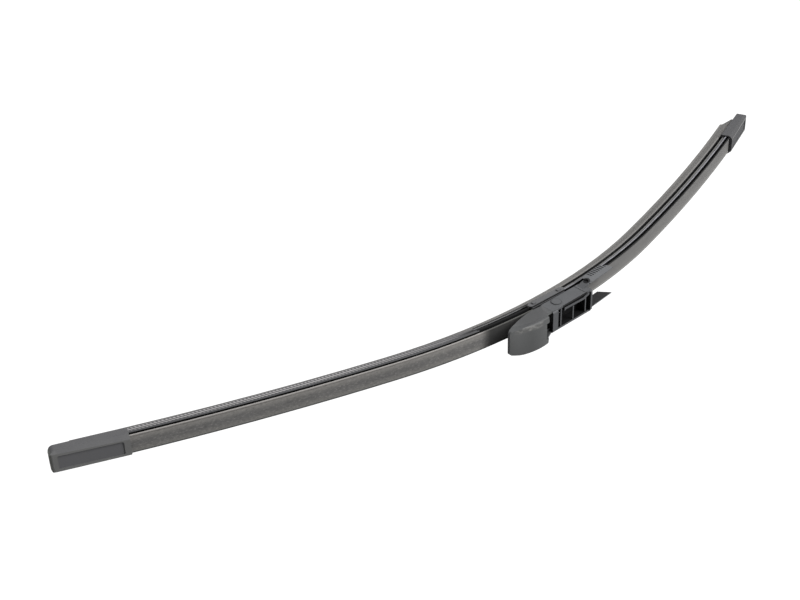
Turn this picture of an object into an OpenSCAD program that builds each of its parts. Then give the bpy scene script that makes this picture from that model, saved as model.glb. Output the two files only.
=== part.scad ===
// Flat wiper blade with a rocking arm adaptor.
// The blade is a bow of three tangent arcs. X runs along it, Y across it, and Z points away
// from the glass. The origin is on the rocking axis, midway between the adaptor's side plates.
// Cross-sections are drawn in the plane (y, h), with h measured up from the cover's top face.

/* [Blade] */
// Length along the bow, over both end caps
blade_len = 534; // [420:1:640]
// Length of the middle arc
mid_len = 192; // [150:1:230]
// Radius of the middle arc
mid_r = 359; // [300:1:600]
// Radius of the two end arcs
end_r = 1370; // [900:1:2500]

/* [Cover strip] */
// Width of the cover strip
cover_w = 10.2; // [8.6:0.1:10.4]
// Thickness of the cover strip
cover_t = 0.9; // [0.6:0.1:1.4]
// Thickness of the cover's thin edges
edge_t = 0.3; // [0.2:0.05:0.5]
// Width of the raised bead along each edge of the cover
bead_w = 0.7; // [0.4:0.1:1.2]
// Height of the bead
bead_h = 0.25; // [0.1:0.05:0.4]
// Width of the foot under the cover
foot_w = 4.2; // [3.4:0.1:5]

/* [Rails] */
// Overall width over both rails
rails_w = 10.4; // [9:0.1:10.6]
// Thickness of a rail
rail_t = 0.95; // [0.7:0.05:1.2]
// Air gap between cover and rails
slot_h = 0.75; // [0.4:0.05:0.9]
// How far the rails end inside the tip of an end cap
rail_inset = 7; // [4:0.5:12]

/* [Wiper element] */
// Width of the web between the rails
spine_w = 2; // [1.4:0.1:3]
// Width of the head that keeps the rails in
head_w = 4.6; // [3.6:0.1:6]
// Width of the flange under the rails
flange_w = 8.8; // [7:0.1:9.6]
// Thickness of the flange
flange_t = 1.75; // [1:0.05:1.8]
// Width of the thin tilting web
web_w = 1.1; // [0.8:0.1:1.8]
// Height of the gap beside the tilting web
web_h = 1.85; // [1.4:0.05:2.6]
// Width over the shoulders of the lip
shoulder_w = 8; // [6:0.1:9]
// Height of the straight side of the shoulders
shoulder_h = 1; // [0.4:0.1:1.4]
// Height of the tapering part of the lip
lip_h = 6; // [5:0.1:8]
// Width of the wiping edge
lip_w = 0.8; // [0.5:0.1:1.2]
// How far the lip ends before the tip of an end cap
lip_inset = 11; // [9:0.5:20]

/* [End caps] */
// Length of an end cap
cap_len = 37; // [30:0.5:44]
// Width of an end cap
cap_w = 12.2; // [12:0.1:13.4]
// Width of the flat top of an end cap
cap_top_w = 8.4; // [7:0.1:9.6]
// Height of the cap above the cover
cap_rise = 1.9; // [1.6:0.1:2.4]
// Fall of the cap's top from mouth to tip
cap_fall = 0.7; // [0.3:0.1:1]
// How far the sides of the cap reach below the cover
cap_skirt = 5.2; // [4.8:0.1:5.6]
// How far the slanted shoulder of the cap reaches down, from the cover's top face
cap_slant = 0.1; // [0:0.1:0.6]
// Clearance between the cap and what it holds
cap_gap = 0.15; // [0.05:0.05:0.3]
// Length of the recessed panel on the cap
panel_len = 30.5; // [20:0.5:34]
// Width of the recessed panel
panel_w = 7; // [5:0.1:7.6]
// Depth of the recessed panel
panel_t = 0.4; // [0.2:0.05:0.5]

/* [Base bracket] */
// Length of the side bars
base_len = 26.4; // [20:0.1:30]
// Width over the side bars
base_w = 13.2; // [12.4:0.1:14]
// Top of the side bars below the cover
base_top = 0.9; // [0.8:0.05:1]
// Height of the side bars
base_h = 3.4; // [3:0.1:4.2]
// Width over the two bearing ears
ears_w = 8.4; // [6:0.1:9.6]
// Thickness of an ear
ear_t = 1.8; // [1.2:0.1:2.4]
// Radius of the round end of an ear
ear_r = 3.4; // [3:0.1:3.6]

/* [Pivot] */
// Height of the rocking axis above the cover
pivot_h = 4.8; // [4.4:0.1:5.6]
// Radius of the pivot pin
pin_r = 1.5; // [1.2:0.1:2]
// Radius of the pin's heads
pin_head_r = 2.8; // [2.4:0.1:3.2]
// Thickness of the pin's heads
pin_head_t = 0.35; // [0.3:0.05:0.8]
// Radial clearance of the pin in the ears
pin_gap = 0.05; // [0.02:0.01:0.1]

/* [Adaptor frame] */
// Width over the side plates
frame_w = 13.2; // [12.4:0.1:14.4]
// Thickness of the side plates
plate_t = 1.1; // [0.9:0.1:1.5]
// Front end of the frame, from the axis
front_x = 8.2; // [7:0.1:10]
// Rear end of the frame, from the axis
rear_x = 22.6; // [21.5:0.1:26]
// Top of the plates at the front, above the axis
top_front = 5.1; // [4.8:0.1:6.4]
// Top of the plates at the rear, above the axis
top_rear = 4.2; // [4.2:0.1:6]
// Bottom of the plates at the front, below the axis
low_front = 3.3; // [2.6:0.1:3.6]
// Bottom of the plates at the rear, below the axis
low_rear = 4; // [3:0.1:4.1]
// Thickness of the cross walls
wall_t = 1.2; // [0.8:0.1:1.8]
// Thickness of the thin ribs
rib_t = 0.8; // [0.6:0.1:1.2]
// Width of the seams on the side plates
seam_w = 0.35; // [0.2:0.05:0.5]
// Depth of the seams
seam_t = 0.25; // [0.1:0.05:0.4]

/* [Latch finger] */
// Thickness of the latch finger
latch_t = 1.4; // [0.8:0.1:1.6]
// Gap between the finger and its side plate
latch_gap = 1; // [0.5:0.1:1.2]
// Free end of the finger, from the axis
latch_x = 1.4; // [0:0.1:4]

/* [Pinch tabs] */
// Width over the ribbed faces of the tabs
tabs_w = 18.2; // [17:0.1:19]
// Thickness of a tab
tab_t = 1.5; // [1.2:0.1:1.6]
// Start of the tabs, from the axis
tab_x = 24.6; // [24.4:0.1:28]
// Length of a tab along its top
tab_len = 21; // [16:0.5:26]
// Slant of the tab's end
tab_slant = 4.4; // [0:0.1:7]
// Height of a tab
tab_h = 6.4; // [5.4:0.1:7]
// Top of a tab at its start, above the axis
tab_top = 1.3; // [0:0.1:1.4]
// Angle that the tabs fall by
tab_fall = 7; // [4:0.5:10]
// Pitch of the grip ribs
grip_pitch = 1.8; // [1.4:0.1:3]
// Height of the ribbed band
grip_z = 3.8; // [2.4:0.1:4.2]
// Height of the grip ribs
grip_h = 0.4; // [0.2:0.05:0.5]

/* [Nose cap] */
// Tip of the nose, from the axis
nose_x = 38.5; // [37:0.1:40]
// Widest place of the nose
nose_w = 17.3; // [16.4:0.1:18]
// Radius of the long sides of the nose from above
side_r = 65; // [60:1:90]
// Radius of the front corners from above
corner_r = 2; // [1.5:0.1:3]
// Slant of the sides of the nose, in degrees
side_draft = 11; // [8:0.5:12]
// Top of the nose above the axis
nose_top = 9.9; // [9.5:0.1:10.5]
// Highest place of the roof, from the axis
ridge_x = 20.5; // [19.5:0.5:21.5]
// Radius that the roof falls to the tip with
roof_r = 33; // [32:0.5:36]
// Height of the roof's crown above its side edges
crown_h = 0.6; // [0.4:0.1:1]
// Radius of the roof's long edges
edge_r = 2.4; // [1.6:0.1:2.8]
// Wall thickness of the nose
nose_t = 1.1; // [0.8:0.1:1.3]
// Rear rim of the nose roof, from the axis
rim_x = 14.7; // [14:0.1:15.5]
// Width of the notch in the rim
notch_w = 9.6; // [7:0.1:10.4]
// Depth of the notch
notch_d = 2.2; // [1:0.1:3]
// Clearance between the nose and the frame
nose_gap = 0.1; // [0.05:0.05:0.2]
// Length of the frame's tongues inside the nose
tongue_len = 6; // [4:0.5:8]

/* [Hidden] */
$fn = 96;
sweep_fn = 720;
eps = 0.02;
half_len = blade_len/2;
mid_half = mid_len/2;
mid_a = mid_half/mid_r*180/PI;
foot_gap = 0.05;
groove_gap = 0.04;

// Heights of the cross-section, all below the cover's top face
rail_top = cover_t + slot_h;
rail_low = rail_top + rail_t;
flange_low = rail_low + flange_t;
shoulder_top = flange_low + web_h;
lip_low = shoulder_top + shoulder_h + lip_h;
head_top = cover_t + foot_gap;
flange_step = 0.3;

// Places of the frame's cross walls and ribs, from the axis
block_x = -5.9;
block_t = 3.2;
front_rib_x = -1;
mid_rib_x = 8.2;
inner_wall_x = 18.3;
floor_x = 5.6;
floor_z = -1.1;
wall_over = 0.7;
plate_in = frame_w/2 - plate_t;
rib_low = ear_r + 0.35;
cap_end_r = 3;
end_chamfer = 0.9;

// Widest place of the nose, and how fast its sides run in behind it
bow_x = -23;
flare = 0.28;

// Angle of the bow at arc length s, in degrees from the middle
function bow_a(s) = abs(s) <= mid_half ? s/mid_r*180/PI
    : sign(s)*(mid_a + (abs(s) - mid_half)/end_r*180/PI);

// Centre of the right end arc, as (x, z) from the cover's top at the middle
function end_centre() = [(mid_r - end_r)*sin(mid_a), -mid_r + (mid_r - end_r)*cos(mid_a)];

// Point of the cover's top face at arc length s, as (x, z) from the rocking axis
function bow_at(s) = let(a = bow_a(s), c = end_centre())
    abs(s) <= mid_half ? [mid_r*sin(a), -mid_r + mid_r*cos(a) - pivot_h]
    : [sign(s)*c[0] + end_r*sin(a), c[1] + end_r*cos(a) - pivot_h];

// Puts what is drawn upright at the origin at arc length s, square to the bow
module at_bow(s) {
    p = bow_at(s);
    translate([p[0], 0, p[1]])
        rotate([0, bow_a(s), 0])
            children();
}

// Sweeps a cross-section round one arc, from angle a0 to a1 off the vertical
module one_arc(r, a0, a1) {
    rotate([90, 0, 0])
        rotate_extrude(angle = a1 - a0, start = 90 - a1, $fn = sweep_fn)
            translate([r, 0])
                rotate(-90)
                    children();
}

// Sweeps a cross-section along the bow, from arc length s0 to s1. The end arcs start a
// little early, so that they join the middle arc
module sweep(s0, s1) {
    c = end_centre();
    lap = 0.002;
    translate([0, 0, -pivot_h]) {
        if (s0 < mid_half && s1 > -mid_half)
            translate([0, 0, -mid_r])
                one_arc(mid_r, bow_a(max(s0, -mid_half)), bow_a(min(s1, mid_half)))
                    children();
        if (s1 > mid_half)
            translate([c[0], 0, c[1]])
                one_arc(end_r, bow_a(max(s0, mid_half)) - lap, bow_a(s1))
                    children();
        if (s0 < -mid_half)
            translate([-c[0], 0, c[1]])
                one_arc(end_r, bow_a(s0), bow_a(min(s1, -mid_half)) + lap)
                    children();
    }
}

// Closed outline from the points of its right half, listed from the top down
module two_sided(points) {
    n = len(points);
    polygon(concat(points, [for (i = [1 : n]) [-points[n - i][0], points[n - i][1]]]));
}

// Extrudes a side view drawn in (x, z) to width w, centred on the middle plane
module side_slab(w) {
    rotate([90, 0, 0])
        linear_extrude(w, center = true)
            children();
}

// Section of the rubber: head, spine, flange, tilting web and lip
module element_section() {
    spine = spine_w/2;
    two_sided([[head_w/2, -head_top], [head_w/2, -rail_top + groove_gap],
        [spine, -rail_top + groove_gap], [spine, -rail_low - groove_gap],
        [flange_w/2 - 1.2, -rail_low - groove_gap], [flange_w/2, -rail_low - flange_step],
        [flange_w/2, -flange_low + 0.2], [flange_w/2 - 0.2, -flange_low],
        [web_w/2, -flange_low], [web_w/2, -shoulder_top], [shoulder_w/2, -shoulder_top],
        [shoulder_w/2, -shoulder_top - shoulder_h], [lip_w/2 + 0.3, -lip_low + 1.6],
        [lip_w/2, -lip_low]]);
}

// Rubber element, one piece from end to end, with its lip cut back at a slant
module wiper_element() {
    s_end = half_len - rail_inset;
    s_lip = half_len - lip_inset;
    color("dimgray")
        difference() {
            sweep(-s_end, s_end)
                element_section();
            for (side = [-1, 1])
                at_bow(side*s_lip)
                    side_slab(shoulder_w + 1)
                        polygon([[0, -lip_low - 1], [side*1.8, -shoulder_top - 1.6],
                            [side*4, -shoulder_top + 0.4], [side*(lip_inset + 4), -shoulder_top + 0.4],
                            [side*(lip_inset + 4), -lip_low - 1]]);
        }
}

// One spring-steel rail, from the rubber's spine out to the side given
module rail(side) {
    s_end = half_len - rail_inset;
    inner = spine_w/2 + groove_gap;
    color("#3a3b3e")
        sweep(-s_end, s_end)
            mirror([side > 0 ? 0 : 1, 0])
                polygon([[inner, -rail_low], [rails_w/2 - 0.15, -rail_low],
                    [rails_w/2, -rail_low + 0.15], [rails_w/2, -rail_top - 0.15],
                    [rails_w/2 - 0.15, -rail_top], [inner, -rail_top]]);
}

module front_rail() {
    rail(-1);
}

module rear_rail() {
    rail(1);
}

// Section of the cover: a plate with beaded edges, thick only over its narrow foot
module cover_section() {
    half = cover_w/2;
    two_sided([[half - bead_w - 0.3, 0], [half - bead_w, bead_h], [half - 0.15, bead_h],
        [half, bead_h - 0.15], [half, -edge_t], [half - 0.4, -edge_t], [foot_w/2 + 0.6, -cover_t + 0.2],
        [foot_w/2, -cover_t]]);
}

// One half of the cover, from the base bracket out into its end cap
module cover_strip(side) {
    s_in = base_len/2 - 0.9;
    s_out = half_len - rail_inset + 1;
    color("#6d6d6b")
        sweep(side > 0 ? s_in : -s_out, side > 0 ? s_out : -s_in)
            cover_section();
}

module cover_strip_near() {
    cover_strip(-1);
}

module cover_strip_far() {
    cover_strip(1);
}

// Section of an end cap: upright sides, slanted shoulders and a flat top
module cap_section() {
    two_sided([[cap_top_w/2, cap_rise], [cap_w/2, -cap_slant], [cap_w/2, -cap_skirt]]);
}

// Room in an end cap for the cover, the rails and the flange, which sag at its mouth
module cap_room() {
    sag = cap_len*cap_len/(8*end_r) + 0.02;
    side = rails_w/2 + cap_gap;
    flange = flange_w/2 + cap_gap;
    mouth = shoulder_w/2 - 0.8;
    low = -flange_low - cap_gap - sag;
    two_sided([[cover_w/2, bead_h + cap_gap], [cover_w/2 + cap_gap, bead_h],
        [side, -rail_top + cap_gap], [side, -rail_low - sag - 0.2], [flange, -rail_low - sag - 0.5],
        [flange, low], [mouth, low], [mouth, -cap_skirt - 1]]);
}

// Outline of an end cap from above, square at the mouth and rounded at the tip
module cap_plan() {
    r = cap_end_r;
    half = cap_w/2;
    difference() {
        translate([0, -half])
            square([cap_len, cap_w]);
        for (side = [-1, 1])
            translate([cap_len - r, side*(half - r)])
                difference() {
                    translate([0, side > 0 ? 0 : -r - 1])
                        square(r + 1);
                    circle(r);
                }
    }
}

// Side view of an end cap, with its top sloping down to a rounded tip
module cap_side() {
    tip = cap_rise - cap_fall;
    r = 1.6;
    low = -cap_skirt + 0.3;
    for (z = [low + r, tip - r])
        translate([cap_len - r, z])
            circle(r);
    translate([cap_len/2, low + r])
        square([cap_len/2, tip - low - 2*r]);
    polygon([[0, -cap_skirt], [cap_len - r, low], [cap_len - r, tip], [0, cap_rise]]);
}

// Slot with round ends that the panel on the cap is cut to
module panel_plan() {
    r = 1;
    for (dx = [0, 1])
        translate([dx*(panel_len - 2*r), 0])
            for (side = [-1, 1])
                translate([r, side*(panel_w/2 - r)])
                    circle(r);
    translate([0, -panel_w/2 + r])
        square([panel_len, panel_w - 2*r]);
    translate([r, -panel_w/2])
        square([panel_len - 2*r, panel_w]);
}

// End cap: a moulded shoe, open underneath so that the lip passes through
module end_cap(side) {
    lead = 3;
    fall = atan(cap_fall/cap_len);
    color("#58595a")
        at_bow(side*(half_len - cap_len/2))
            rotate([0, 0, side > 0 ? 0 : 180])
                translate([-cap_len/2, 0, 0])
                    difference() {
                        intersection() {
                            rotate([90, 0, 90])
                                linear_extrude(cap_len)
                                    cap_section();
                            linear_extrude(3*cap_skirt, center = true)
                                cap_plan();
                            side_slab(cap_w + 1)
                                cap_side();
                        }
                        translate([-1, 0, 0])
                            rotate([90, 0, 90])
                                linear_extrude(cap_len - rail_inset + 2.5)
                                    cap_room();
                        translate([0, 0, cap_rise])
                            rotate([0, fall, 0])
                                translate([lead, 0, -panel_t])
                                    linear_extrude(1)
                                        panel_plan();
                    }
}

module end_cap_near() {
    end_cap(-1);
}

module end_cap_far() {
    end_cap(1);
}

// Side view of a bearing ear, round over the axis and broad at its foot
module ear_side() {
    foot = pivot_h + bead_h;
    circle(ear_r);
    polygon([[-ear_r, 0], [ear_r, 0], [ear_r + 2.4, -foot], [-ear_r - 2.4, -foot]]);
}

// Side view of a base bar, with rounded ends
module bar_side() {
    top = -pivot_h - base_top;
    r = base_h/2 - 0.2;
    for (side = [-1, 1])
        translate([side*(base_len/2 - r), top - r])
            circle(r);
    translate([-base_len/2 + r, top - 2*r])
        square([base_len - 2*r, 2*r]);
    translate([-base_len/2 + r, top - base_h])
        square([base_len - 2*r, base_h]);
}

// Base bracket: a saddle clamped over the rails, with two ears for the pivot pin
module base_bracket() {
    inner = rails_w/2 + 0.1;
    saddle_w = 2*inner + 0.3;
    saddle_len = base_len - 2.4;
    shelf_w = base_w - 0.8;
    pad_x = 9.2;
    pad_top = -pivot_h - base_top - base_h*0.2;
    fence_t = plate_in - ears_w/2;
    fence_h = pivot_h - 2.7;
    color("#2d2d2f")
        difference() {
            union() {
                for (side = [-1, 1]) {
                    translate([0, side*(ears_w - ear_t)/2, 0])
                        side_slab(ear_t)
                            ear_side();
                    translate([0, side*(base_w/2 + inner)/2, 0])
                        side_slab(base_w/2 - inner)
                            bar_side();
                    for (x = [-pad_x, pad_x])
                        translate([x - 1.1, side*(base_w/2 + 0.1) - 0.5, pad_top - base_h*0.45])
                            cube([2.2, 1, base_h*0.45]);
                    translate([-6, side*(ears_w/2 + plate_in - 0.4)/2 - fence_t/2, -pivot_h - 0.2])
                        cube([11.9, fence_t, fence_h]);
                }
                translate([-saddle_len/2, -saddle_w/2, -pivot_h - rail_top])
                    cube([saddle_len, saddle_w, rail_top + bead_h]);
                translate([-saddle_len/2, -shelf_w/2, -pivot_h - rail_top - 0.3])
                    cube([saddle_len, shelf_w, rail_top + 0.3 - base_top]);
            }
            sweep(-base_len, base_len)
                two_sided([[head_w/2 + 0.1, -head_top + foot_gap], [head_w/2 + 0.1, -rail_top + groove_gap],
                    [inner, -rail_top + groove_gap], [inner, -rail_low - 0.2],
                    [flange_w/2 + 0.3, -rail_low - 0.4], [flange_w/2 + 0.3, -pivot_h - base_h - 2]]);
            rotate([90, 0, 0])
                cylinder(r = pin_r + pin_gap, h = base_w, center = true);
        }
}

// Pivot pin: a rivet through both plates and both ears, with a flat head at each end
module pivot_pin() {
    color("#4c4d4f")
        rotate([90, 0, 0]) {
            cylinder(r = pin_r, h = frame_w + pin_head_t, center = true);
            for (side = [-1, 1])
                translate([0, 0, side*(frame_w/2 - seam_t + (pin_head_t + seam_t)/2)])
                    cylinder(r = pin_head_r, h = pin_head_t + seam_t, center = true);
        }
}

// Side view of a plate of the frame
module plate_side() {
    polygon([[-front_x, -low_front], [rear_x - 1.2, -low_rear], [rear_x, -low_rear + 1.2],
        [rear_x, top_rear], [-front_x, top_front]]);
}

// Height of the plates' top edge at x
function plate_top(x) = top_front + (top_rear - top_front)*(x + front_x)/(rear_x + front_x);

// Wall across the frame, with its top corners cut off where it stands proud
module cross_wall(x, t, low, over) {
    top = plate_top(x) + over;
    half = frame_w/2 - 0.3;
    translate([x - t/2, 0, 0])
        rotate([90, 0, 90])
            linear_extrude(t)
                polygon([[-half, low], [half, low], [half, top - end_chamfer],
                    [half - end_chamfer, top], [-half + end_chamfer, top], [-half, top - end_chamfer]]);
}

// Latch finger: springs from its side plate in a double bend and runs forward
module latch_plan() {
    out = plate_in - latch_gap;
    root = inner_wall_x + 2;
    bend = root - 4;
    polygon([[root, plate_in + 0.2], [root, plate_in - 1], [bend, out - latch_t],
        [latch_x + 1.2, out - latch_t], [latch_x, out - latch_t - 0.6], [latch_x, out],
        [bend - 0.6, out], [root - 2, plate_in + 0.2]]);
}

// Neck of a pinch tab: it steps outwards behind the frame
module tab_neck_plan() {
    y_in = tabs_w/2 - tab_t;
    y_out = tabs_w/2 - 0.6;
    polygon([[rear_x - 5, plate_in + 0.2], [rear_x - 0.6, plate_in + 0.2], [tab_x - 0.2, y_in], [tab_x + 2, y_in],
        [tab_x + 2, y_out], [tab_x, y_out], [rear_x - 3.6, frame_w/2 - 0.1], [rear_x - 5, frame_w/2 - 0.1]]);
}

// Cross-section of a pinch tab on the +Y side, with its slanted shoulder
module tab_section() {
    out = tabs_w/2;
    polygon([[out - tab_t, 0], [out - tab_t + 0.5, 0], [out - 0.1, grip_z - tab_h + 0.3],
        [out, grip_z - tab_h], [out, -tab_h + 0.4], [out - 0.4, -tab_h], [out - tab_t, -tab_h]]);
}

// Pinch tab on the side given, with ribs to grip
module pinch_tab(side) {
    ribs = floor((tab_len - tab_slant - 2)/grip_pitch);
    neck_h = 4;
    pocket_r = 1.2;
    mirror([0, side > 0 ? 0 : 1, 0])
        difference() {
            union() {
                translate([0, 0, tab_top - 0.4 - neck_h])
                    linear_extrude(neck_h)
                        tab_neck_plan();
                translate([tab_x, 0, tab_top])
                    rotate([0, tab_fall, 0])
                        intersection() {
                            rotate([90, 0, 90])
                                linear_extrude(tab_len)
                                    tab_section();
                            side_slab(2*tabs_w)
                                polygon([[0, 0.1], [tab_len, 0.1], [tab_len - tab_slant, -tab_h - 0.1],
                                    [3.4, -tab_h - 0.1], [0, -4.6]]);
                        }
            }
            translate([tab_x, 0, tab_top])
                rotate([0, tab_fall, 0])
                    for (i = [0 : ribs - 1])
                        translate([4.6 + i*grip_pitch, tabs_w/2 - grip_h, -tab_h - 1])
                            cube([grip_pitch/2, 2*grip_h, grip_z + 1]);
            translate([tab_x - 0.6, tabs_w/2, tab_top - 0.4 - neck_h/2])
                rotate([90, 0, 0])
                    cylinder(r = pocket_r, h = 2, center = true);
        }
}

// Tongue of the frame that the nose is pushed on to
module tongue(side) {
    y_out = frame_w/2 - nose_t - nose_gap;
    translate([-front_x - tongue_len, side*(y_out - plate_t/2) - plate_t/2, -1.6])
        cube([tongue_len + wall_t, plate_t, 5]);
}

// Adaptor frame: an open ribbed box between two plates, with a latch finger and pinch tabs
module adaptor_frame() {
    latch_h = 1.3;
    rib_in = plate_in - latch_gap - latch_t - 0.6;
    wall_low = floor_z - 0.4;
    color("#5a5b5d")
        difference() {
            union() {
                for (side = [-1, 1]) {
                    translate([0, side*(frame_w - plate_t)/2, 0])
                        side_slab(plate_t)
                            plate_side();
                    pinch_tab(side);
                    tongue(side);
                }
                cross_wall(-front_x + wall_t/2, wall_t, -2.2, wall_over);
                cross_wall(block_x, block_t, 0.2, wall_over);
                translate([floor_x, -plate_in - 0.2, floor_z - rib_t])
                    cube([rear_x - floor_x - 0.6, 2*plate_in + 0.4, rib_t]);
                cross_wall(front_rib_x, rib_t, rib_low, -0.3);
                cross_wall(inner_wall_x, rib_t, wall_low, -0.3);
                cross_wall(rear_x - wall_t/2, wall_t, wall_low, wall_over);
                translate([mid_rib_x, -plate_in - 0.2, rib_low])
                    cube([rib_t, plate_in + 0.2 + rib_in, plate_top(mid_rib_x) - 0.3 - rib_low]);
                translate([0, 0, plate_top(latch_x) - 0.1 - latch_h])
                    linear_extrude(latch_h)
                        latch_plan();
            }
            for (side = [-1, 1])
                translate([rear_x - 5, side*frame_w/2 - seam_t, -low_rear - 1])
                    cube([seam_w, 2*seam_t, low_rear + top_front + 2]);
            rotate([90, 0, 0]) {
                cylinder(r = pin_r + eps, h = frame_w + 2, center = true);
                for (side = [-1, 1])
                    translate([0, 0, side*(frame_w/2 - seam_t/2 + eps)])
                        cylinder(r = pin_head_r + eps, h = seam_t + 2*eps, center = true);
            }
        }
}

// Side view of the nose below its roof, with the rim and the belly rising to the tip
module nose_side() {
    rear = -front_x - nose_gap;
    sky = nose_top + 2;
    polygon([[rear, -2.5], [-14, -3], [-20.2, -2.4], [-27.5, -0.6], [-nose_x + 4, 1.8], [-nose_x, 2.9],
        [-nose_x, sky], [-rim_x, sky], [-rim_x, nose_top - 1.8], [-rim_x - 0.7, nose_top - 2.6],
        [rear, top_front - 0.3]]);
}

// Side view of the hollow in the nose, open underneath behind its closed tip
module nose_hollow_side() {
    sky = nose_top + 2;
    front = -nose_x + 3;
    polygon([[0, -6], [-26.5, -6], [-26.5, 0.9], [front, 3.2], [front, sky], [0, sky]]);
}

// Half the width of the nose from above, at x
function nose_half(x) = nose_w/2 - side_r + sqrt(side_r*side_r - pow(x - bow_x, 2));

// Outline of the nose from above, shrunk by d: bowed sides, rounded front corners, and
// sides that run in to the frame's plates behind
module nose_plan(d) {
    r = corner_r - d;
    half = nose_w/2 - d;
    x_c = -nose_x + corner_r;
    y_c = nose_half(x_c) - corner_r + 0.03;
    rear = frame_w/2 - d;
    wide = rear + 20*flare;
    intersection() {
        translate([bow_x, half - side_r])
            circle(side_r, $fn = 360);
        translate([bow_x, side_r - half])
            circle(side_r, $fn = 360);
        polygon([[-front_x, -rear], [-front_x, rear], [-front_x - 20, wide], [-nose_x - 1, wide],
            [-nose_x - 1, -wide], [-front_x - 20, -wide]]);
        union() {
            translate([x_c, -nose_w])
                square([nose_x, 2*nose_w]);
            translate([-nose_x + d, -y_c])
                square([nose_x, 2*y_c]);
            for (side = [-1, 1])
                translate([x_c, side*y_c])
                    circle(r);
        }
    }
}

// Slanted sides of the nose, shrunk by d: narrow at the belly and wide under the roof
module nose_wedge(d) {
    low = -3;
    high = nose_top + 3;
    half = frame_w/2 + 0.1 - d;
    rotate([90, 0, -90])
        linear_extrude(nose_x + 1)
            two_sided([[half + (high - low)*tan(side_draft), high], [half, low], [half, low - 4]]);
}

// Space under the nose's roof, shrunk by d: it falls to the tip, with rounded long edges
module under_roof(d) {
    crown_r = (pow(nose_w/2, 2) + pow(crown_h, 2))/(2*crown_h);
    half = nose_w/2 + 0.12;
    depth = 14;
    translate([-ridge_x, 0, nose_top - roof_r])
        one_arc(roof_r, -38, 34)
            intersection() {
                translate([0, -crown_r])
                    circle(crown_r - d);
                union() {
                    translate([-half + edge_r, -depth])
                        square([2*(half - edge_r), depth]);
                    translate([-half + d, -depth])
                        square([2*(half - d), depth - edge_r]);
                    for (side = [-1, 1])
                        translate([side*(half - edge_r), -edge_r])
                            circle(edge_r - d);
                }
            }
}

// Nose cap: a hollow wedge over the front of the frame, notched for the arm's tip
module nose_cap() {
    color("#606162")
        difference() {
            intersection() {
                side_slab(2*nose_w)
                    nose_side();
                linear_extrude(60, center = true)
                    nose_plan(0);
                nose_wedge(0);
                under_roof(0);
            }
            intersection() {
                side_slab(2*nose_w)
                    nose_hollow_side();
                linear_extrude(60, center = true)
                    nose_plan(nose_t);
                nose_wedge(nose_t);
                under_roof(nose_t);
            }
            translate([-rim_x - notch_d, -notch_w/2, nose_top - 3])
                cube([notch_d + 2, notch_w, 6]);
        }
}

wiper_element();
front_rail();
rear_rail();
cover_strip_near();
cover_strip_far();
end_cap_near();
end_cap_far();
base_bracket();
pivot_pin();
adaptor_frame();
nose_cap();
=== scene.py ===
"""Looks, camera, floor and light for the flat wiper blade, in the part's own frame.

Blender's lengths are metres. Places and sizes inside the materials are millimetres.
"""
import math

import bpy
from mathutils import Matrix, Vector

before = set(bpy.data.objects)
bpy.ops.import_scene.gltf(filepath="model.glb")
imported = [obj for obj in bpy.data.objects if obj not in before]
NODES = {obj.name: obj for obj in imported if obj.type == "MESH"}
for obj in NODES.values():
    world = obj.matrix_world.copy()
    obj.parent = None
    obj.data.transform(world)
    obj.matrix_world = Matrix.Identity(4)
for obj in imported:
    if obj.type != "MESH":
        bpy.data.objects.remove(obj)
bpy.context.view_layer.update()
MM = 0.001


def box(node):
    """Lowest and highest corner of one CAD node, in millimetres."""
    axes = list(zip(*(corner.co / MM for corner in NODES[node].data.vertices)))
    return Vector([min(axis) for axis in axes]), Vector([max(axis) for axis in axes])


# Places along the blade, in millimetres from the rocking axis
CAP_END, CAP_MOUTH = (corner.x for corner in box("end_cap_near"))
NOSE_FRONT = box("nose_cap")[0].x
TABS_START = 23.2       # the pinch tabs leave the adaptor's box here
SHADE_START = -46.0     # the adaptor's deep shade on the blade begins here and ends at the axis

# Places across the blade, in millimetres from its middle plane
FLANGE_SIDE = box("wiper_element")[1].y
COVER_SIDE = box("cover_strip_near")[1].y
SHOULDER_SIDE = 4.0     # the outer edge of the rubber's shoulders over the lip
PANEL_SIDE = 3.45       # the long edge of the panel on a cap
DECK_SIDE = 5.7         # within the adaptor's deck plates; what lies further in is inside the box

# Points on the adaptor, in millimetres
PIN_HEAD = (0, box("pivot_pin")[1].y - 0.15, 0)
NECK_POCKET = (24.5, 8.5, -1.2)

# Cross-ribs on the rubber's shoulders: their distance, and how far they lean per millimetre of width
RIB_PITCH = 1.72
RIB_SLANT = 1.61

TONE_LEVELS = (0.3, 0.7)    # noise levels at which a blotch has its dark and its light tone
ROUGH_SPREAD = 0.06         # how far the blotches move the roughness either way
SHADE_ROUGH = 0.5           # added where deep shade takes the gloss away


def colour(hex_code):
    """Linear RGBA of an sRGB hex colour."""
    parts = [int(hex_code[i:i + 2], 16) / 255 for i in (1, 3, 5)]
    return [p / 12.92 if p <= 0.04045 else ((p + 0.055) / 1.055) ** 2.4 for p in parts] + [1.0]


def add(tree, kind, inputs=None, **settings):
    """Adds a shader node right of the others, with its settings, and links the inputs that are sockets."""
    node = tree.nodes.new(kind)
    node.location = (200 * len(tree.nodes), 0)
    for key, value in settings.items():
        setattr(node, key, value)
    for key, value in (inputs or {}).items():
        if isinstance(value, bpy.types.NodeSocket):
            tree.links.new(value, node.inputs[key])
        else:
            node.inputs[key].default_value = value
    return node


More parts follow.
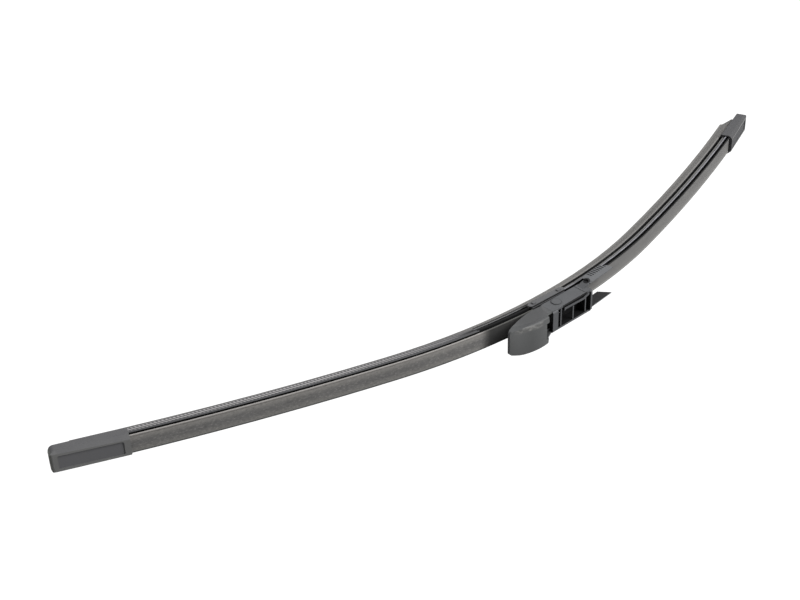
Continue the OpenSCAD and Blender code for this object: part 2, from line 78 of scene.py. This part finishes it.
class Finish:
    """A Principled material on object coordinates, laid on in coats of colour through masks."""

    def __init__(self, name, dark, light, rough, gloss, blotch, streak=1.0):
        """Two base tones in blotches of one size, a roughness that follows them, and one gloss."""
        self.material = bpy.data.materials.new(name)
        self.material.use_nodes = True
        self.tree = self.material.node_tree
        self.tree.nodes.clear()
        own = add(self.tree, "ShaderNodeTexCoord").outputs
        self.place = own["Object"]
        self.xyz = add(self.tree, "ShaderNodeSeparateXYZ", {"Vector": self.place}).outputs
        self.normal = add(self.tree, "ShaderNodeSeparateXYZ", {"Vector": own["Normal"]}).outputs
        self.side = add(self.tree, "ShaderNodeMath", {0: self.xyz["Y"]}, operation="ABSOLUTE").outputs[0]
        self.blotches = self.noise(blotch, 5, streak)
        tones = add(self.tree, "ShaderNodeValToRGB", {"Fac": self.blotches})
        for stop, position, tone in zip(tones.color_ramp.elements, TONE_LEVELS, (dark, light)):
            stop.position = position
            stop.color = colour(tone)
        self.tint = tones.outputs["Color"]
        self.shader = add(self.tree, "ShaderNodeBsdfPrincipled", {"Specular IOR Level": gloss})
        self.rough = add(self.tree, "ShaderNodeMapRange", {
            "Value": self.blotches, "To Min": rough - ROUGH_SPREAD, "To Max": rough + ROUGH_SPREAD,
        }).outputs["Result"]

    def noise(self, size, detail=3, streak=1.0, rough=0.6):
        """Noise of one feature size, drawn out along the blade by the streak factor."""
        place = self.place
        if streak != 1.0:
            place = add(self.tree, "ShaderNodeMapping", {
                "Vector": place, "Scale": (1 / streak, 1, 1)}).outputs["Vector"]
        return add(self.tree, "ShaderNodeTexNoise", {
            "Vector": place, "Scale": 1 / (size * MM), "Detail": detail, "Roughness": rough}).outputs["Fac"]

    def rise(self, value, start, full):
        """Mask that is 0 up to start and 1 from full on, with a smooth slope. Start may be above full."""
        return add(self.tree, "ShaderNodeMapRange", {"Value": value, "From Min": start, "From Max": full},
                   interpolation_type="SMOOTHSTEP").outputs["Result"]

    def along(self, axis, start, full):
        """Mask by the place on one axis of the frame."""
        return self.rise(self.xyz[axis], start * MM, full * MM)

    def aside(self, start, full):
        """Mask by the distance from the blade's middle plane."""
        return self.rise(self.side, start * MM, full * MM)

    def facing(self, axis, start, full):
        """Mask by how far the surface faces along one axis, from -1 to 1."""
        return self.rise(self.normal[axis], start, full)

    def around(self, point, start, full):
        """Mask by the distance from one point."""
        gap = add(self.tree, "ShaderNodeVectorMath", {0: self.place, 1: Vector(point) * MM},
                  operation="DISTANCE")
        return self.rise(gap.outputs["Value"], start * MM, full * MM)

    def both(self, *masks):
        """Mask where all of these are."""
        shared = masks[0]
        for mask in masks[1:]:
            shared = add(self.tree, "ShaderNodeMath", {0: shared, 1: mask}, operation="MULTIPLY").outputs[0]
        return shared

    def paint(self, mask, hex_code, amount=1.0):
        """Lays a colour over what is there, where the mask is."""
        cover = add(self.tree, "ShaderNodeMath", {0: mask, 1: amount}, operation="MULTIPLY").outputs[0]
        self.tint = add(self.tree, "ShaderNodeMix", {"Factor": cover, "A": self.tint, "B": colour(hex_code)},
                        data_type="RGBA").outputs["Result"]

    def dull(self, mask):
        """Makes the surface rough where the mask is."""
        self.rough = add(self.tree, "ShaderNodeMath", {0: mask, 1: SHADE_ROUGH, 2: self.rough},
                         operation="MULTIPLY_ADD", use_clamp=True).outputs[0]

    def done(self, grain, depth_um, detail, streak=1.0):
        """Links the layers to the shader, with a surface grain of one size and depth."""
        relief = add(self.tree, "ShaderNodeMath", {0: self.noise(grain, detail, streak), 1: depth_um * 1e-6},
                     operation="MULTIPLY")
        bump = add(self.tree, "ShaderNodeBump", {
            "Height": relief.outputs[0], "Strength": 1.0, "Distance": 1.0}).outputs["Normal"]
        for value, socket in ((self.tint, "Base Color"), (self.rough, "Roughness"), (bump, "Normal")):
            self.tree.links.new(value, self.shader.inputs[socket])
        add(self.tree, "ShaderNodeOutputMaterial", {"Surface": self.shader.outputs[0]})
        return self.material


# Materials
def beside_adaptor(finish):
    """Mask of the stretch of blade that lies in the adaptor's deep shade."""
    return finish.both(finish.along("X", SHADE_START - 0.2, SHADE_START + 0.2), finish.along("X", 0, -5))


def moulded_wiper_rubber():
    """Compression-moulded natural rubber: matt, chalked by dust on its flanks, with painted shade on its
    up-facing faces in the grooves and painted light on the near arm's ledge.
    """
    rubber = Finish("moulded_wiper_rubber", "#72716f", "#7c7a78",
                    rough=0.62, gloss=0.14, blotch=7.0, streak=9.0)
    near_arm = rubber.along("X", -30, -60)
    level = rubber.facing("Z", 0.45, 0.75)
    rubber.paint(rubber.rise(rubber.noise(1.1, 4, 5.0), 0.5, 0.72), "#908e8a", 0.25)
    rubber.paint(near_arm, "#626161", 0.75)
    # painted shade: the up-facing faces lie in the dark slots and grooves
    rubber.paint(level, "#1f1f20")
    # the flange's edges, darker on the near arm
    edge = rubber.aside(FLANGE_SIDE - 0.25, FLANGE_SIDE - 0.15)
    rubber.paint(edge, "#666665", 0.9)
    rubber.paint(rubber.both(edge, rubber.along("X", 30, -30)), "#4b4b4d", 0.9)
    # the shoulders over the lip carry fine light slanted bars on the near arm, and the near arm's ledge is
    # painted light
    slanted = add(rubber.tree, "ShaderNodeMath", {0: rubber.side, 1: RIB_SLANT, 2: rubber.xyz["X"]},
                  operation="MULTIPLY_ADD")
    phase = add(rubber.tree, "ShaderNodeMath", {0: slanted.outputs[0], 1: 2 * math.pi / (RIB_PITCH * MM)},
                operation="MULTIPLY")
    ribs = add(rubber.tree, "ShaderNodeMath", {0: phase.outputs[0]}, operation="SINE").outputs[0]
    shoulder = rubber.both(rubber.facing("Z", -0.2, -0.05),
                           rubber.aside(SHOULDER_SIDE + 0.1, SHOULDER_SIDE + 0.05), near_arm)
    rubber.paint(shoulder, "#5b5b5d", 0.85)
    ledge = rubber.both(shoulder, level, rubber.along("X", -45, -60))
    # painted light: the near arm's ledge lighter
    rubber.paint(ledge, "#818183", 0.85)
    # fine light slanted bars at the ribs' pitch, brightest on the painted-light ledge
    light_bars = rubber.both(rubber.rise(ribs, -0.5, 0.6), rubber.along("X", -30, -130))
    rubber.paint(rubber.both(shoulder, light_bars), "#a2a0a1", 0.9)
    rubber.paint(rubber.both(ledge, light_bars), "#dedcdc", 0.95)
    # painted shade beside the adaptor, where only the ledge's outer line keeps painted light
    shade = beside_adaptor(rubber)
    rubber.paint(rubber.both(shade, rubber.aside(SHOULDER_SIDE - 0.05, SHOULDER_SIDE - 0.02)), "#2b2b2c", 0.9)
    rubber.paint(rubber.both(shade, edge), "#0d0d0e")
    line = rubber.both(rubber.aside(SHOULDER_SIDE - 0.6, SHOULDER_SIDE - 0.5),
                       rubber.aside(SHOULDER_SIDE - 0.02, SHOULDER_SIDE - 0.05), level)
    rubber.paint(rubber.both(shade, line), "#8f8f90", 0.9)
    return rubber.done(grain=0.5, depth_um=3, detail=4, streak=3.0)


def coated_spring_steel():
    """Strip steel under a thin dark stoving enamel: half gloss, with fine lines along the strip."""
    steel = Finish("coated_spring_steel", "#78787c", "#828287",
                   rough=0.45, gloss=0.17, blotch=5.0, streak=30.0)
    steel.paint(steel.rise(steel.noise(0.5, 3, 80.0), 0.48, 0.62), "#a6a6ad", 0.5)
    # painted shade: the near arm's rails darker, where they reflect less light
    steel.paint(steel.along("X", 30, -30), "#404042", 0.9)
    # painted shade: the top lies in the dark slot under the cover
    steel.paint(steel.facing("Z", 0.3, 0.6), "#0b0b0c")
    shade = beside_adaptor(steel)
    steel.paint(shade, "#060607")
    steel.dull(shade)
    return steel.done(grain=0.25, depth_um=1.2, detail=2, streak=60.0)


def extruded_cover_plastic():
    """Soft extruded plastic: matt, greyed and mottled by weather, paler towards its long edges, with painted
    shade on its underside and beside the nose, and a painted highlight and painted shade on its beads.
    """
    cover = Finish("extruded_cover_plastic", "#6b6a69", "#757473",
                   rough=0.66, gloss=0.12, blotch=5.0, streak=4.0)
    near_arm = cover.along("X", 10, -30)
    far_arm = cover.along("X", -20, 20)
    cover.paint(cover.both(cover.along("Y", 0.3, 4.2), near_arm), "#9a9793", 0.75)
    cover.paint(cover.both(cover.along("Y", -1, -3.8), near_arm), "#858380", 0.7)
    cover.paint(cover.both(cover.along("Y", 1, -4.6), far_arm), "#848381", 0.6)
    cover.paint(cover.both(cover.rise(cover.noise(3.2, 3, 30.0), 0.45, 0.65), far_arm), "#797876", 0.5)
    # fine mottling on the near arm
    fine = cover.noise(0.9, 5, 1.8, 0.7)
    cover.paint(cover.both(cover.rise(fine, 0.5, 0.7), near_arm), "#aba8a4", 0.45)
    cover.paint(cover.both(cover.rise(fine, 0.48, 0.3), near_arm), "#50504f", 0.45)
    # the beads along both edges: a painted highlight on the near arm's +Y bead, painted shade on the far
    # arm's +Y bead, and the near arm's -Y bead darker
    bead = cover.along("Y", COVER_SIDE - 0.7, COVER_SIDE - 0.3)
    cover.paint(cover.both(bead, near_arm), "#9e9b98", 0.85)
    cover.paint(cover.both(cover.along("Y", 1.1 - COVER_SIDE, 0.8 - COVER_SIDE), near_arm), "#4f4f4e", 0.9)
    cover.paint(cover.both(cover.along("Y", COVER_SIDE - 0.6, COVER_SIDE - 0.3), far_arm), "#101011", 0.95)
    # painted shadow of the nose on the strip beside the adaptor, less dark on the +Y bead
    nose_shadow = cover.both(cover.along("X", NOSE_FRONT - 9.5, NOSE_FRONT - 1.5), cover.along("X", 10, 0))
    cover.paint(nose_shadow, "#2e2e2e", 0.92)
    cover.paint(cover.both(nose_shadow, bead), "#585856", 0.9)
    # painted shade on the underside
    cover.paint(cover.facing("Z", -0.2, -0.5), "#141414")
    return cover.done(grain=0.45, depth_um=3, detail=3)


def grained_cap_plastic():
    """Injection-moulded plastic with a fine spark-eroded grain: matt, a little pale where it is worn, with
    painted light and shade by face and by cap.
    """
    cap = Finish("grained_cap_plastic", "#59595b", "#5f5f60", rough=0.6, gloss=0.15, blotch=8.0)
    top = cap.facing("Z", 0.6, 0.8)
    near_cap = cap.along("X", 0, -100)
    cap.paint(cap.rise(cap.noise(1.2, 5), 0.58, 0.75), "#8c8b89", 0.18)
    # painted light on the tops; painted shade on faces towards +X and on the far cap
    cap.paint(top, "#6a6a6c", 0.8)
    cap.paint(cap.facing("X", 0.02, 0.14), "#464647", 0.8)
    cap.paint(cap.along("X", 0, 100), "#3e3e40", 0.55)
    # painted highlights on the rim around the panel and at both ends of the near cap's top, and painted light
    # on its outer end face
    cap.paint(cap.both(top, cap.aside(PANEL_SIDE - 0.15, PANEL_SIDE + 0.15)), "#7b7b7a", 0.85)
    cap.paint(cap.both(top, near_cap, cap.along("X", CAP_END + 3.5, CAP_END + 2.7)), "#777776", 0.85)
    cap.paint(cap.both(top, near_cap, cap.along("X", CAP_MOUTH - 5.9, CAP_MOUTH - 5.1)), "#777776", 0.85)
    cap.paint(cap.both(near_cap, cap.facing("X", -0.5, -0.8)), "#7f807c", 0.85)
    return cap.done(grain=0.3, depth_um=5, detail=3)


def base_plastic_with_painted_shade():
    """Injection-moulded glass-filled plastic: satin, with painted shade in black where it lies under the
    adaptor.
    """
    base = Finish("base_plastic_with_painted_shade", "#5a5a5c", "#616162", rough=0.56, gloss=0.15, blotch=8.0)
    # painted shade in black under the adaptor: the up-facing faces inside the bars, and the base's upper part
    base.paint(base.both(base.aside(6.4, 6.2), base.facing("Z", 0.3, 0.7)), "#161617", 0.95)
    base.paint(base.along("Z", -5.6, -5.0), "#0d0d0e", 0.95)
    return base.done(grain=0.35, depth_um=5, detail=3)


def satin_adaptor_plastic():
    """Injection-moulded glass-filled plastic: satin, with painted shade in black inside the open box."""
    adaptor = Finish("satin_adaptor_plastic", "#535456", "#5a5b5d", rough=0.55, gloss=0.15, blotch=8.0)
    inside = adaptor.aside(DECK_SIDE + 0.1, DECK_SIDE - 0.1)
    # painted shade in black inside the open box
    adaptor.paint(adaptor.both(inside, adaptor.facing("Z", 0.75, 0.55)), "#0e0e0f", 0.97)
    adaptor.paint(adaptor.both(inside, adaptor.along("Z", 3.0, 2.4)), "#0e0e0f", 0.97)
    # the pinch tabs, of which the far one is in shade but for its upper rim
    tabs = adaptor.along("X", TABS_START - 0.4, TABS_START + 0.4)
    far_tab = adaptor.both(tabs, adaptor.along("Y", -5.0, -5.5))
    adaptor.paint(tabs, "#626365", 0.9)
    adaptor.paint(adaptor.both(far_tab, adaptor.facing("Y", 0.3, 0.7)), "#2a2a2b", 0.95)
    adaptor.paint(adaptor.both(far_tab, adaptor.facing("Z", 0.3, 0.7)), "#8a8c8e", 0.9)
    # painted shade in the deep pocket in the near tab's neck
    adaptor.paint(adaptor.around(NECK_POCKET, 2.2, 1.7), "#121213", 0.95)
    # the shaded wall over the latch finger
    wall = adaptor.both(adaptor.facing("Z", 0.8, 0.95), adaptor.along("Y", 5.1, 5.4),
                        adaptor.along("Z", 3.0, 3.5), adaptor.along("X", -0.5, 0.2),
                        adaptor.along("X", 19.5, 18.8))
    adaptor.paint(wall, "#131314", 0.95)
    # a darker ring round the pin's head
    ring = adaptor.both(adaptor.around(PIN_HEAD, 2.3, 2.6), adaptor.around(PIN_HEAD, 3.3, 2.9),
                        adaptor.facing("Y", 0.5, 0.8))
    adaptor.paint(ring, "#38393a", 0.6)
    return adaptor.done(grain=0.35, depth_um=4, detail=3)


def satin_nose_plastic():
    """Injection-moulded plastic: satin, with painted light on its roof and a painted highlight, mottled pale,
    in a band along its long edge.
    """
    nose = Finish("satin_nose_plastic", "#474849", "#4d4d4e", rough=0.52, gloss=0.15, blotch=9.0)
    roof = nose.facing("Z", 0.45, 0.85)
    nose.paint(nose.along("X", NOSE_FRONT + 12.5, NOSE_FRONT - 1.5), "#616263", 0.8)
    # painted light on the roof, with a painted highlight towards its front
    nose.paint(roof, "#5b5c5c", 0.9)
    nose.paint(nose.both(roof, nose.along("X", NOSE_FRONT + 12.5, NOSE_FRONT + 0.5)), "#737474", 0.9)
    # a painted highlight in a band along the long edge, mottled pale
    band = nose.both(nose.along("Y", 4.8, 6.2), nose.along("Y", 8.4, 7.4), nose.facing("Z", 0.15, 0.5),
                     nose.along("X", NOSE_FRONT + 1.0, NOSE_FRONT + 4.5),
                     nose.along("X", NOSE_FRONT + 20.0, NOSE_FRONT + 16.5))
    nose.paint(band, "#6b6b6a", 0.6)
    nose.paint(nose.both(band, nose.rise(nose.noise(1.2, 5, 3.0, 0.7), 0.42, 0.68)), "#a09f9c", 0.65)
    return nose.done(grain=0.35, depth_um=4, detail=3)


FINISHES = (
    (moulded_wiper_rubber, ("wiper_element",)),
    (coated_spring_steel, ("front_rail", "rear_rail")),
    (extruded_cover_plastic, ("cover_strip_near", "cover_strip_far")),
    (grained_cap_plastic, ("end_cap_near", "end_cap_far")),
    (base_plastic_with_painted_shade, ("base_bracket",)),
    (satin_adaptor_plastic, ("pivot_pin", "adaptor_frame")),
    (satin_nose_plastic, ("nose_cap",)),
)
for make, nodes in FINISHES:
    material = make()
    for name in nodes:
        slots = NODES[name].data.materials
        slots.clear()
        slots.append(material)

# Camera, at the photo's viewing angle: its place, three directions and focal length were fitted to the photo
CAMERA_AT = Vector((-470.88, 402.58, 425.11)) * MM
CAMERA_RIGHT = Vector((0.746476, -0.029494, 0.664758))
CAMERA_DOWN = Vector((-0.370402, -0.848348, 0.378296))
CAMERA_LOOK = Vector((0.552789, -0.528617, -0.644196))
FOCAL_PX = 1436.97
IMAGE_W_PX = 800
HALF_PIXEL = 0.5 / IMAGE_W_PX
SENSOR_MM = 36.0
camera_data = bpy.data.cameras.new("camera")
camera_data.sensor_width = SENSOR_MM
camera_data.lens = FOCAL_PX / IMAGE_W_PX * SENSOR_MM
camera_data.clip_start, camera_data.clip_end = 0.01, 20
camera_data.shift_x, camera_data.shift_y = -HALF_PIXEL, HALF_PIXEL
camera = bpy.data.objects.new("camera", camera_data)
bpy.context.scene.collection.objects.link(camera)
turn = Matrix((CAMERA_RIGHT, -CAMERA_DOWN, -CAMERA_LOOK)).transposed()
camera.matrix_world = Matrix.Translation(CAMERA_AT) @ turn.to_4x4()
bpy.context.scene.camera = camera


# Floor, background and light
def shows_background(tree):
    """1 for rays that show the background itself: straight, in a gloss or through glass."""
    ray = add(tree, "ShaderNodeLightPath").outputs
    second = add(tree, "ShaderNodeMath", {0: ray["Is Glossy Ray"], 1: ray["Is Transmission Ray"]},
                 operation="MAXIMUM")
    return add(tree, "ShaderNodeMath", {0: ray["Is Camera Ray"], 1: second.outputs[0]},
               operation="MAXIMUM").outputs[0]


def two_faced(tree, output, lighting, shown):
    """Lights the object with one shader and shows the other as the background."""
    mix = add(tree, "ShaderNodeMixShader", {0: shows_background(tree), 1: lighting, 2: shown})
    add(tree, output, {"Surface": mix.outputs[0]})


WHITE = (1, 1, 1, 1)
FLOOR_Z = -125 * MM     # below the blade's ends at both limits of the rocking pivot
FLOOR_SIZE = 8
FLOOR_GREY = (0.6, 0.6, 0.6, 1)     # what lights the object from below
FLOOR_GLOW = 0.93       # nearly white by itself, so that the object's shadow stays pale
LIT_GREY = (0.25, 0.25, 0.25, 1)    # makes up the rest to white where the key light falls
SKY_LIGHT = 0.12
KEY_AT = Vector((1.23, 2.06, 1.8))
KEY_SIZE = 1.6
KEY_WATTS = 127

bpy.ops.object.select_all(action="DESELECT")
bpy.ops.mesh.primitive_plane_add(size=FLOOR_SIZE, location=(0, 0, 0))
floor = bpy.context.object
floor.name = "floor"
for corner in floor.data.vertices:
    corner.co.z = FLOOR_Z
floor_white = bpy.data.materials.new("floor_white")
floor_white.use_nodes = True
tree = floor_white.node_tree
tree.nodes.clear()
diffuse = add(tree, "ShaderNodeBsdfDiffuse", {"Color": FLOOR_GREY})
glow = add(tree, "ShaderNodeEmission", {"Color": WHITE, "Strength": FLOOR_GLOW})
lit = add(tree, "ShaderNodeBsdfDiffuse", {"Color": LIT_GREY})
shown = add(tree, "ShaderNodeAddShader", {0: glow.outputs[0], 1: lit.outputs[0]})
two_faced(tree, "ShaderNodeOutputMaterial", diffuse.outputs[0], shown.outputs[0])
floor.data.materials.append(floor_white)

world = bpy.context.scene.world or bpy.data.worlds.new("world")
bpy.context.scene.world = world
world.use_nodes = True
tree = world.node_tree
tree.nodes.clear()
sky = add(tree, "ShaderNodeBackground", {"Color": WHITE, "Strength": SKY_LIGHT})
backdrop = add(tree, "ShaderNodeBackground", {"Color": WHITE, "Strength": 1.0})
two_faced(tree, "ShaderNodeOutputWorld", sky.outputs[0], backdrop.outputs[0])

key_data = bpy.data.lights.new("key", "AREA")
key_data.size = KEY_SIZE
key_data.energy = KEY_WATTS
key = bpy.data.objects.new("key", key_data)
bpy.context.scene.collection.objects.link(key)
key.location = KEY_AT
key.rotation_euler = (-KEY_AT).to_track_quat("-Z", "Y").to_euler()

bpy.context.scene.view_settings.view_transform = "Standard"
